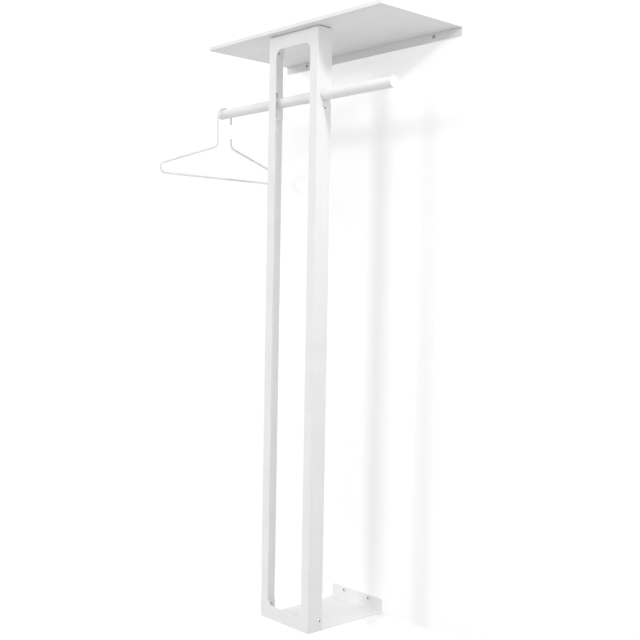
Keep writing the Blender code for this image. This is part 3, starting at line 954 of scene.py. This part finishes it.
@dataclass
class Fasteners:
    """Screws, nuts and studs, each shape made once and set out by a node tree.

    The flat of a head, its dome, a cross, a thread's depth and crest, a screw's root and point, a nut's
    chamfer and a pin's socket, thread and end are shares of the size that they belong to.
    """

    screw: float = 0.003
    head: float = 0.005
    rise: float = 0.003
    flat: float = 0.6
    button_dome: float = 0.86
    button_steps: tuple[int, int] = (9, 5)
    pan_dome: float = 0.75
    pan_steps: int = 6
    socket: float = 0.0028
    socket_depth: float = 0.0018
    ring: Pair = (0.0019, 0.0041)
    cross: Pair = (0.42, 1.03)
    cross_mark: float = 1.1
    pitch: float = 0.001
    depth: float = 0.3
    crest: Pair = (0.4, 0.6)
    wall_screw: float = 0.0022
    wall_length: float = 0.040
    wall_plain: float = 0.006
    wall_turns: int = 14
    wall_root: float = 0.72
    wall_crest: Pair = (0.45, 0.9)
    wall_runout: Pair = (0.0004, 0.0008)
    wall_point: float = 0.6
    nut: float = 0.0056
    nut_rise: float = 0.005
    nut_chamfer: float = 0.13
    nut_room: float = 1.01
    stud: float = 0.0025
    set_screw: float = 0.002
    pin_socket: float = 0.58
    pin_thread: Pair = (0.2, 0.4)
    pin_end: float = 0.45
    mark_room: Pair = (1.02, 1.2)
    mark_top: float = 0.00015
    edge: float = 0.00012
    wall_edge: float = 0.0001
    steps: int = 48

    def build(self) -> None:
        """Make every kind of fastener and set it out."""
        tree = self._tree()
        sides = [(side.word, Vector((side.value, 0.0, 0.0))) for side in Side]
        down, room, wall = Vector((0, 0, -1)), Vector((0, -1, 0)), Vector((0, 1, 0))
        for stem in ("rod_screw", "base_screw", "shelf_bolt"):
            seats = [self._seat(f"{stem}_{word}", down if stem == "shelf_bolt" else out)
                     for word, out in sides]
            low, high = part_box(seats[0].node)
            length = max(b - a for a, b in zip(low, high)) - self.rise
            self._set_out(tree, f"{stem}s", self._button_screw(length), seats)
        for stem, drive in (("shelf_wall_screw", Drive.RING), ("base_wall_screw", Drive.CROSS)):
            seats = [self._seat(f"{stem}_{word}", room) for word, _ in sides]
            self._set_out(tree, f"{stem}s", self._wall_screw(drive), seats)
        for stem, hole in (("rod_nut", self.screw), ("base_nut", self.screw), ("top_nut", self.stud),
                           ("shelf_weld_nut", self.screw)):
            seats = []
            for word, out in sides:
                node = f"{stem}_{word}"
                seats.append(Seat(node, middle(node), -down if stem == "shelf_weld_nut" else out))
            self._set_out(tree, f"{stem}s", self._nut(hole), seats)
        seats = [self._seat(f"top_weld_stud_{word}", out) for word, out in sides]
        low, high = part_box(seats[0].node)
        self._set_out(tree, "top_studs", self._pin(self.stud, high[0] - low[0], 0.0), seats)
        seats = [self._seat(f"rod_set_screw_{word}", wall) for word, _ in sides]
        low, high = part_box(seats[0].node)
        pin = self._pin(self.set_screw, high[1] - low[1], self.set_screw)
        self._set_out(tree, "rod_set_screws", pin, seats)

    @staticmethod
    def _seat(node: str, facing: Vector) -> Seat:
        """Find where a screw's head or a pin's top sits, from its node's box.

        Args:
            node: the node.
            facing: the way that its top faces.

        Returns:
            The seat, whose place is on the node's outermost face.
        """
        low, high = corners_of(node)
        place = (low + high) / 2
        for axis in range(3):
            if facing[axis]:
                place[axis] = high[axis] if facing[axis] > 0 else low[axis]
        return Seat(node, place, facing)

    def _thread(self, radius: float, top: float, bottom: float) -> list[Pair]:
        """Draw a threaded shank's side as ridges.

        Args:
            radius: radius of their crests.
            top: where they start.
            bottom: where they end.

        Returns:
            Its points, from the top down.
        """
        count = max(2, int((top - bottom) / self.pitch))
        pitch = (top - bottom) / count
        side = []
        for turn in range(count):
            start = top - turn * pitch
            side.append((radius - self.pitch * self.depth, start))
            side += [(radius, start - pitch * share) for share in self.crest]
        return side

    def _button_screw(self, length: float) -> Part:
        """Make a button-head screw with a six-sided socket.

        Args:
            length: length of its shank.

        Returns:
            The screw, its top at the origin.
        """
        under = -self.rise
        end = under - length
        dome = [(self.head * math.sin(a), under * self.button_dome * (1 - math.cos(a)))
                for a in quarter_turn(*self.button_steps)]
        profile = [(0.0, 0.0), (self.head * self.flat, 0.0), *dome, (self.head, under), (self.screw, under),
                   *self._thread(self.screw, under - self.pitch, end + self.pitch / 2),
                   (self.screw - self.pitch / 2, end), (0.0, end)]
        screw = holder("button_screw", lathe(profile, self.steps))
        key = bore(Plane.PLAN, ORIGIN, self.socket, (-self.socket_depth, self.rise), HEXAGON)
        combine(screw, [key], Mode.CUT)
        soften(screw, self.edge, 1)
        self._mark_recess(screw, self.socket)
        return screw

    def _wall_screw(self, drive: Drive) -> Part:
        """Make a pan-head wall screw with a coarse thread.

        Args:
            drive: what is cut into its head.

        Returns:
            The screw, its top at the origin.
        """
        under = -self.rise
        tip = under - self.wall_length
        top, bottom = under - self.wall_plain, tip + self.wall_plain
        step = (bottom - top) / self.wall_turns
        root = self.wall_screw * self.wall_root
        dome = [(self.head * (self.flat + (1 - self.flat) * math.sin(a)),
                 under * self.pan_dome * (1 - math.cos(a))) for a in quarter_turn(self.pan_steps)]
        thread: list[Pair] = []
        for turn in range(self.wall_turns):
            start = top + (bottom - top) * turn / self.wall_turns
            crest, fall = (start + step * share for share in self.wall_crest)
            thread += [(root, start), (self.wall_screw, crest), (root, fall)]
        above, below = self.wall_runout
        profile = [(0.0, 0.0), *dome, (self.head, under), (self.wall_screw, under),
                   (self.wall_screw, top + above), *thread,
                   (self.wall_screw * self.wall_point, bottom - below), (0.0, tip)]
        screw = holder("wall_screw", lathe(profile, self.steps))
        floor = -self.socket_depth
        if drive is Drive.RING:
            inner, outer = self.ring
            groove = [(inner, floor), (outer, floor), (outer, self.rise), (inner, self.rise)]
            key = lathe(groove, self.steps, closed=True)
        else:
            outer = self.socket * self.cross_mark
            key = prism(self._cross(), Plane.PLAN, floor, self.rise)
        combine(screw, [key], Mode.CUT)
        soften(screw, self.wall_edge, 1)
        self._mark_recess(screw, outer)
        return screw

    def _cross(self) -> list[Vector]:
        """Draw a cross, quarter by quarter.

        Returns:
            Its outline.
        """
        arm, reach = (self.socket * share for share in self.cross)
        quarter = [(reach, arm), (arm, arm), (arm, reach)]
        outline: list[Vector] = []
        for _ in range(4):
            outline += [Vector(point) for point in quarter]
            quarter = [(-up, across) for across, up in quarter]
        return outline

    def _nut(self, hole: float) -> Part:
        """Make a six-sided nut with chamfered corners.

        Args:
            hole: radius of the thread that it goes on.

        Returns:
            The nut, its middle at the origin.
        """
        half = self.nut_rise / 2
        nut = holder("nut", bore(Plane.PLAN, ORIGIN, self.nut, (-half, half), HEXAGON))
        flat = self.nut * math.cos(math.pi / 6)
        drop = self.nut_rise * self.nut_chamfer
        outside = self.nut * self.nut_room
        turned = [(0.0, half), (flat, half), (outside, half - drop), (outside, drop - half), (flat, -half),
                  (0.0, -half)]
        combine(nut, [lathe(turned, self.steps)], Mode.SHARE)
        reach = (-self.nut_rise, self.nut_rise)
        combine(nut, [bore(Plane.PLAN, ORIGIN, hole + FIT, reach, SMALL_BORE_STEPS)], Mode.CUT)
        shade(nut)
        return nut

    def _pin(self, radius: float, length: float, socket: float) -> Part:
        """Make a threaded pin.

        Args:
            radius: radius of its thread.
            length: its length.
            socket: size and depth of its six-sided socket, or nothing for a plain top.

        Returns:
            The pin, its top at the origin.
        """
        start, stop = (self.pitch * share for share in self.pin_thread)
        profile = [(0.0, 0.0), (radius - self.pitch * self.depth, 0.0),
                   *self._thread(radius, -start, stop - length),
                   (radius - self.pitch * self.pin_end, -length), (0.0, -length)]
        pin = holder("pin", lathe(profile, self.steps))
        key = socket * self.pin_socket
        if socket:
            combine(pin, [bore(Plane.PLAN, ORIGIN, key, (-socket, socket), HEXAGON)], Mode.CUT)
        shade(pin)
        if socket:
            self._mark_recess(pin, key)
        return pin

    def _mark_recess(self, part: Part, radius: float) -> None:
        """Mark the faces inside a screw's drive, where shade falls, for the painted shade.

        Args:
            part: the screw, its top at the origin.
            radius: radius of its drive.
        """
        wider, deeper = self.mark_room
        # The marked faces get the painted shade, a near-black standing in for the shade in the drive.
        marks = part.data.attributes.new("recess", "BOOLEAN", "FACE")
        for mark, face in zip(marks.data, part.data.polygons):
            inside = face.center.xy.length < radius * wider
            mark.value = inside and -self.socket_depth * deeper < face.center.z < -self.mark_top

    @staticmethod
    def _tree() -> Tree:
        """Build the node tree that sets a fastener out on points.

        Returns:
            The tree. Its inputs are the points, the fastener, its finish and the painted shade for the faces
            inside its drive.
        """
        tree = shape_tree("set_out_fasteners", {"Points": "Geometry", "Fastener": "Object",
                                                "Finish": "Material", "Recess": "Material"})
        nodes = tree.nodes
        entry, leave = nodes.new("NodeGroupInput"), nodes.new("NodeGroupOutput")
        shape = nodes.new("GeometryNodeObjectInfo")
        turn = named_value(tree, "turn", "FLOAT_VECTOR")
        angle = nodes.new("FunctionNodeEulerToRotation")
        copies = nodes.new("GeometryNodeInstanceOnPoints")
        real = nodes.new("GeometryNodeRealizeInstances")
        coat, dark = nodes.new("GeometryNodeSetMaterial"), nodes.new("GeometryNodeSetMaterial")
        # The marked faces inside the drive get the painted shade.
        recess = named_value(tree, "recess", "BOOLEAN")
        join(tree,
             (entry, "Fastener", shape, "Object"),
             (entry, "Points", copies, "Points"),
             (shape, "Geometry", copies, "Instance"),
             (turn, "Attribute", angle, "Euler"),
             (angle, "Rotation", copies, "Rotation"),
             (copies, "Instances", real, "Geometry"),
             (real, "Geometry", coat, "Geometry"),
             (entry, "Finish", coat, "Material"),
             (coat, "Geometry", dark, "Geometry"),
             (recess, "Attribute", dark, "Selection"),
             (entry, "Recess", dark, "Material"),
             (dark, "Geometry", leave, "Geometry"))
        return tree

    @staticmethod
    def _set_out(tree: Tree, name: str, shape: Part, seats: Sequence[Seat]) -> None:
        """Set a fastener out on its seats and finish the result.

        Args:
            tree: the node tree.
            name: name of the finished piece.
            shape: the fastener, its top or middle at the origin.
            seats: where it goes.
        """
        mesh = bpy.data.meshes.new(name)
        mesh.from_pydata([seat.place for seat in seats], [], [])
        turns = mesh.attributes.new("turn", "FLOAT_VECTOR", "POINT")
        for slot, seat in zip(turns.data, seats):
            slot.vector = seat.facing.to_track_quat("Z", "Y").to_euler()
        part = placed(name, mesh)
        # The faces inside each drive get the painted shade.
        run_tree(part, tree, {"Fastener": shape, "Finish": Coat.ZINC.value.material(),
                              "Recess": Coat.RECESS.value.material()})
        discard(shape)
        finish_piece(part, name, Coat.ZINC, [seat.node for seat in seats])


@dataclass
class Hanger:
    """The wire hanger, bent by a node tree along its corners."""

    wire: float = 0.003
    wire_steps: int = 24
    width: float = 0.445
    drop: float = 0.189
    slope: float = math.radians(19)
    end_radius: float = 0.015
    neck_radius: float = 0.020
    neck: float = 0.024
    hook_share: float = 0.999
    bend_steps: int = 20
    tip_drop: float = 0.0285
    stub_drop: float = 0.0695
    end_angle: float = math.radians(60)
    end_round: float = 0.35
    end_steps: int = 4
    merge: float = 0.000002

    def build(self) -> None:
        """Bend the wire, round its ends and coat it."""
        part = self._path()
        run_tree(part, self._tree(), {"Wire radius": self.wire, "Finish": Coat.WIRE.value.material()})
        solid = bmesh.new()
        solid.from_mesh(part.data)
        bmesh.ops.remove_doubles(solid, verts=solid.verts, dist=self.merge)
        rims = [edge for edge in solid.edges
                if len(edge.link_faces) == 2 and edge.calc_face_angle(0.0) > self.end_angle]
        bmesh.ops.bevel(solid, geom=rims, offset=self.wire * self.end_round, segments=self.end_steps,
                        profile=ARC, affect="EDGES")
        bmesh.ops.recalc_face_normals(solid, faces=solid.faces)
        solid.to_mesh(part.data)
        solid.free()
        shade(part)
        finish_piece(part, "hanger_wire", Coat.WIRE, ["hanger"], HANGER)

    def _path(self) -> Part:
        """Lay out the wire's corners, from the hook's tip to the stub below it.

        Returns:
            A path with the radius of each bend.
        """
        rod = middle("rod_tube")
        low, high = corners_of("rod_tube")
        apex = (high.z - low.z) / 2 + FIT + self.wire
        reach = self.width / 2 - self.wire
        corner = reach - self.end_radius + self.end_radius / math.tan(self.slope / 2)
        shoulder = (corner - self.neck) * math.tan(self.slope) - self.drop
        hook = self.neck * self.hook_share
        bends = [
            (self.neck, -self.tip_drop, 0.0),
            (self.neck, apex, hook),
            (-self.neck, apex, hook),
            (-self.neck, shoulder, self.neck_radius),
            (-corner, -self.drop, self.end_radius),
            (corner, -self.drop, self.end_radius),
            (self.neck, shoulder, self.neck_radius),
            (self.neck, -self.stub_drop, 0.0),
        ]
        x = middle("hanger").x
        mesh = bpy.data.meshes.new("hanger_path")
        mesh.from_pydata([(x, rod.y + across, rod.z + up) for across, up, _ in bends],
                         [(index, index + 1) for index in range(len(bends) - 1)], [])
        radii = mesh.attributes.new("bend_radius", "FLOAT", "POINT")
        radii.data.foreach_set("value", [radius for _, _, radius in bends])
        return placed("hanger_path", mesh)

    def _tree(self) -> Tree:
        """Build the node tree that bends a wire along corners.

        Returns:
            The tree. Its inputs are the corners, the wire's radius and its finish.
        """
        tree = shape_tree("bend_wire", {"Corners": "Geometry", "Wire radius": "Float", "Finish": "Material"})
        nodes = tree.nodes
        entry, leave = nodes.new("NodeGroupInput"), nodes.new("NodeGroupOutput")
        path = nodes.new("GeometryNodeMeshToCurve")
        bend = nodes.new("GeometryNodeFilletCurve")
        bend.mode = "POLY"
        bend.inputs["Count"].default_value = self.bend_steps
        radius = named_value(tree, "bend_radius", "FLOAT")
        section = nodes.new("GeometryNodeCurvePrimitiveCircle")
        section.inputs["Resolution"].default_value = self.wire_steps
        skin = nodes.new("GeometryNodeCurveToMesh")
        skin.inputs["Fill Caps"].default_value = True
        real = nodes.new("GeometryNodeRealizeInstances")
        coat = nodes.new("GeometryNodeSetMaterial")
        join(tree,
             (entry, "Corners", path, "Mesh"),
             (path, "Curve", bend, "Curve"),
             (radius, "Attribute", bend, "Radius"),
             (entry, "Wire radius", section, "Radius"),
             (bend, "Curve", skin, "Curve"),
             (section, "Curve", skin, "Profile Curve"),
             (skin, "Mesh", real, "Geometry"),
             (real, "Geometry", coat, "Geometry"),
             (entry, "Finish", coat, "Material"),
             (coat, "Geometry", leave, "Geometry"))
        return tree


@dataclass(frozen=True)
class SoftBox:
    """A soft lamp: where it stands, what it points at, its size and its power."""

    name: str
    place: Triple
    target: Triple
    size: Pair
    power: float

    def build(self) -> None:
        """Hang the lamp."""
        light = bpy.data.lights.new(self.name, "AREA")
        light.shape = "RECTANGLE"
        light.size, light.size_y = self.size
        light.energy = self.power
        hang(light, Vector(self.place), Vector(self.target) - Vector(self.place))


@dataclass(frozen=True)
class KeyLight:
    """The far lamp that throws the shadows: the way that its light travels, its spread and its strength."""

    name: str
    way: Triple
    spread: float
    strength: float
    distance: float = 3.0

    def build(self) -> None:
        """Hang the lamp."""
        light = bpy.data.lights.new(self.name, "SUN")
        light.angle = self.spread
        light.energy = self.strength
        hang(light, -Vector(self.way) * self.distance, Vector(self.way))


def hang(light: bpy.types.Light, place: Vector, way: Vector) -> None:
    """Put a lamp in its place.

    Args:
        light: the lamp.
        place: its place.
        way: the way that it points.
    """
    lamp = placed(light.name, light)
    lamp.location = place
    lamp.rotation_mode = "QUATERNION"
    lamp.rotation_quaternion = way.to_track_quat("-Z", "Y")


@dataclass
class Studio:
    """The white room: wall, floor, light and camera.

    Wall and floor glow a little where they are seen, so that only the deeper parts of their shadows show. The
    glow is painted light, stronger just under the shelf, below the rack's foot and towards the left, where it
    lightens the shadows there.
    """

    floor_gap: float = 0.30
    wall_gap: float = 0.0006
    touch: float = 0.004
    reach: float = 14.0
    slab: float = 1.0
    ambient: Pair = (0.785, 1.02)
    seen_colour: Triple = (0.9, 0.9, 0.9)
    wall_colour: Triple = (0.95, 0.95, 0.95)
    floor_colour: Triple = (0.55, 0.55, 0.55)
    # Painted light: how much wall and floor glow, more just under the shelf, below the rack's foot and at the
    # left.
    glow: Pair = (0.165, 0.30)
    glow_heights: Pair = (-0.23, -0.08)
    left_glow: float = 0.035
    left_limits: Pair = (-0.5, 0.0)
    wall_foot_glow: float = 0.42
    floor_glow: float = 0.5
    foot_limits: Pair = (-0.018, 0.004)
    key: KeyLight = KeyLight("key_light", (0.575, 1.0, -0.258), math.radians(12.0), 0.69)
    side: SoftBox = SoftBox("side_box", (1.5, -0.50, 0.54), (0.1, -0.25, -0.12), (0.14, 0.14), 8.9)
    eye: Triple = (2.0229, -2.0161, -0.6809)
    yaw: float = math.radians(47.5331)
    pitch: float = math.radians(1.8309)
    roll: float = math.radians(1.0123)
    focal_pixels: float = 988.45
    frame_pixels: float = 640.0
    sensor: float = 36.0

    def build(self) -> None:
        """Set up the room."""
        white = self._white("wall_white", self.wall_colour, self.wall_foot_glow)
        depths = (self.wall_gap, self.wall_gap + self.slab)
        self._sheet("room_wall", Plane.FRONT, depths, Vector((0, -1, 0)), white)
        floor = CAD_BOX[0].z - self.floor_gap
        white = self._white("floor_white", self.floor_colour, self.floor_glow)
        self._sheet("room_floor", Plane.PLAN, (floor - self.slab, floor), Vector((0, 0, 1)), white)
        self._world()
        self.key.build()
        self.side.build()
        self._camera()

    def _sheet(self, name: str, plane: Plane, depths: Pair, facing: Vector,
               white: bpy.types.Material) -> None:
        """Keep the one face of a slab that faces a way, as part of the room.

        Args:
            name: its name.
            plane: the plane that the slab lies in.
            depths: where the slab starts and ends.
            facing: the way.
            white: the face's material.
        """
        slab = prism(rectangle((-self.reach, -self.reach), (self.reach, self.reach)), plane, *depths)
        others = [face for face in slab.faces if face.normal.dot(facing) < FACING]
        bmesh.ops.delete(slab, geom=others, context="FACES")
        part = holder(name, slab)
        part.data.materials.append(white)

    def _white(self, name: str, colour: Triple, foot_glow: float) -> bpy.types.Material:
        """Make a white of the room: it takes shadows, bounces light and is open from behind and at touch.

        Args:
            name: its name.
            colour: the colour that it bounces.
            foot_glow: the painted light that lightens its shadows below the rack.

        Returns:
            The material.
        """
        made = bpy.data.materials.new(name)
        made.use_nodes = True
        tree = made.node_tree
        nodes, links = tree.nodes, tree.links
        nodes.clear()
        out = nodes.new("ShaderNodeOutputMaterial")
        path = nodes.new("ShaderNodeLightPath")
        face = nodes.new("ShaderNodeNewGeometry")
        seen = self._math(tree, "MAXIMUM", path.outputs["Is Camera Ray"], path.outputs["Is Glossy Ray"])
        seen = self._math(tree, "MAXIMUM", seen, path.outputs["Is Transmission Ray"])
        far = self._math(tree, "GREATER_THAN", path.outputs["Ray Length"], self.touch)
        front = self._math(tree, "SUBTRACT", 1.0, face.outputs["Backfacing"])
        solid = self._math(tree, "MULTIPLY", far, front)
        matt = nodes.new("ShaderNodeBsdfDiffuse")
        matt.inputs["Color"].default_value = (*self.seen_colour, 1.0)
        glow = nodes.new("ShaderNodeEmission")
        # The glow is painted light that lightens the white's shadows.
        links.new(self._lift(tree, foot_glow), glow.inputs["Strength"])
        look = nodes.new("ShaderNodeAddShader")
        bounce = nodes.new("ShaderNodeBsdfDiffuse")
        bounce.inputs["Color"].default_value = (*colour, 1.0)
        pick = nodes.new("ShaderNodeMixShader")
        clear = nodes.new("ShaderNodeBsdfTransparent")
        shown = nodes.new("ShaderNodeMixShader")
        links.new(seen, pick.inputs["Fac"])
        links.new(solid, shown.inputs["Fac"])
        join(tree,
             (matt, "BSDF", look, 0),
             (glow, "Emission", look, 1),
             (bounce, "BSDF", pick, 1),
             (look, "Shader", pick, 2),
             (clear, "BSDF", shown, 1),
             (pick, "Shader", shown, 2),
             (shown, "Shader", out, "Surface"))
        return made

    def _lift(self, tree: Tree, foot_glow: float) -> Socket:
        """Work out the painted light with which a white lightens its shadows: by height, and a little more at
        the left.

        Args:
            tree: the white's nodes.
            foot_glow: the painted light below the rack.

        Returns:
            The light's strength.
        """
        place = tree.nodes.new("ShaderNodeSeparateXYZ")
        tree.links.new(tree.nodes.new("ShaderNodeTexCoord").outputs["Object"], place.inputs["Vector"])
        foot = CAD_BOX[0].z
        limits = (foot + self.foot_limits[0], foot + self.foot_limits[1])
        low = spread(tree, place.outputs["Z"], limits, (foot_glow, self.glow[0]), soft=True)
        high = spread(tree, place.outputs["Z"], self.glow_heights, self.glow, soft=True)
        left = spread(tree, place.outputs["X"], self.left_limits, (self.left_glow, 0.0), soft=True)
        return self._math(tree, "ADD", self._math(tree, "MAXIMUM", low, high), left)

    @staticmethod
    def _math(tree: Tree, operation: str, first: Socket | float, second: Socket | float) -> Socket:
        """Add a node that works a value out of two.

        Args:
            tree: the nodes that it goes in.
            operation: what it does with them.
            first: first value.
            second: second value.

        Returns:
            The result.
        """
        node = tree.nodes.new("ShaderNodeMath")
        node.operation = operation
        for slot, value in zip(node.inputs, (first, second)):
            if isinstance(value, Socket):
                tree.links.new(value, slot)
            else:
                slot.default_value = value
        return node.outputs["Value"]

    def _world(self) -> None:
        """Fill the room with white light, a little stronger from above, and show white behind it."""
        world = bpy.data.worlds.new("white_room")
        world.use_nodes = True
        tree = world.node_tree
        sky = tree.nodes["Background"]
        sky.inputs["Color"].default_value = (1.0, 1.0, 1.0, 1.0)
        path = tree.nodes.new("ShaderNodeLightPath")
        seen = self._math(tree, "MAXIMUM", path.outputs["Is Camera Ray"], path.outputs["Is Glossy Ray"])
        way = tree.nodes.new("ShaderNodeSeparateXYZ")
        tree.links.new(tree.nodes.new("ShaderNodeTexCoord").outputs["Generated"], way.inputs["Vector"])
        level = spread(tree, way.outputs["Z"], (0.0, 1.0), self.ambient)
        tree.links.new(self._math(tree, "MAXIMUM", level, seen), sky.inputs["Strength"])
        bpy.context.scene.world = world
        bpy.context.scene.view_settings.view_transform = "Standard"

    def _camera(self) -> None:
        """Put the camera where the photograph was taken from."""
        ahead = Vector((-math.sin(self.yaw) * math.cos(self.pitch), math.cos(self.yaw) * math.cos(self.pitch),
                        -math.sin(self.pitch)))
        right = Vector((math.cos(self.yaw), math.sin(self.yaw), 0.0))
        up = right.cross(ahead)
        across = right * math.cos(self.roll) + up * math.sin(self.roll)
        top = up * math.cos(self.roll) - right * math.sin(self.roll)
        view = Matrix((across, top, -ahead)).transposed().to_4x4()
        view.translation = self.eye
        camera = placed("photo_camera", bpy.data.cameras.new("photo_camera"))
        camera.data.sensor_width = self.sensor
        camera.data.lens = self.focal_pixels / self.frame_pixels * self.sensor
        camera.matrix_world = view
        bpy.context.scene.camera = camera


def main() -> None:
    """Build the room and the rack's pieces in order."""
    logging.basicConfig(level=logging.INFO, format="%(name)s %(message)s")
    for part in (Studio(), Post(), Shelf(), Bracket(), Base(), Rod(), Fasteners(), Hanger()):
        LOG.info("building %s", type(part).__name__)
        part.build()


if __name__ == "__main__":
    main()
